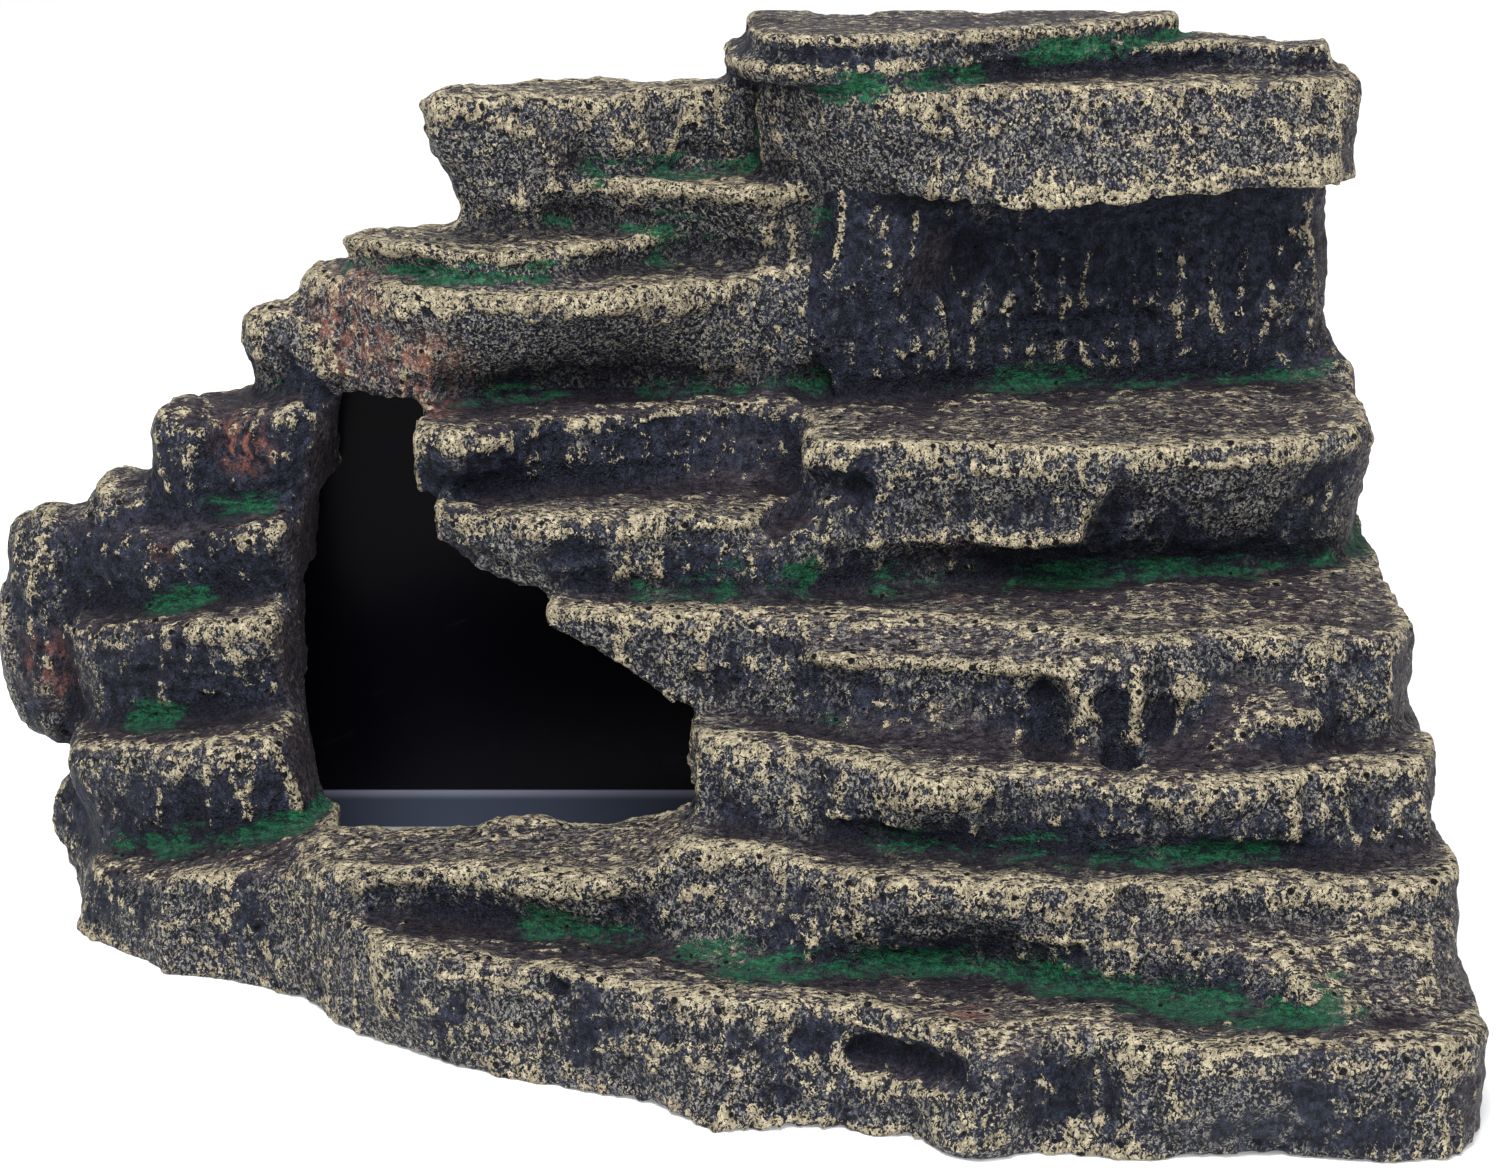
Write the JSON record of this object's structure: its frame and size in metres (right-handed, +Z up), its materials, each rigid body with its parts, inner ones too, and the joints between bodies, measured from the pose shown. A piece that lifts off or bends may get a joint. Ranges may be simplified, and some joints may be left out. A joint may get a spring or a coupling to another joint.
{
  "type": "aquarium cave ornament",
  "caption": "Terraced stacked-stone ornament with a stepped front, a side cave, an overhanging cap and a flat closed back, open underneath, for a tank or pond.",
  "frame": {"origin": "on the ground under the centre of the ornament's bounding box", "axes": "+Z up, the stepped front and the cave mouth face -Y, +X runs from the pillar to the shelf end"},
  "size_m": [0.3295, 0.1744, 0.2028],
  "materials": {
    "painted_rock": "matte cast resin, dark grey with tan dry-brushed edges and green moss tints",
    "gloss_panel": "glossy black sheet"
  },
  "bodies": {
    "root": {"base_course": "painted_rock", "sill_course": "painted_rock", "step_course_2": "painted_rock", "step_course_3": "painted_rock", "step_course_4": "painted_rock", "step_course_5": "painted_rock", "shelf_block": "painted_rock", "bridge_slab": "painted_rock", "thin_slab": "painted_rock", "upper_slab": "painted_rock", "upper_left_ledge": "painted_rock", "neck_wall": "painted_rock", "cap_block": "painted_rock", "top_slab_lower": "painted_rock", "top_slab_upper": "painted_rock", "pillar_base": "painted_rock", "pillar_block_1": "painted_rock", "pillar_block_2": "painted_rock", "pillar_block_3": "painted_rock", "pillar_block_4": "painted_rock", "horn_rock": "painted_rock", "slope_rock": "painted_rock", "pillar_boulder": "painted_rock", "back_panel": "gloss_panel"}
  },
  "joints": []
}
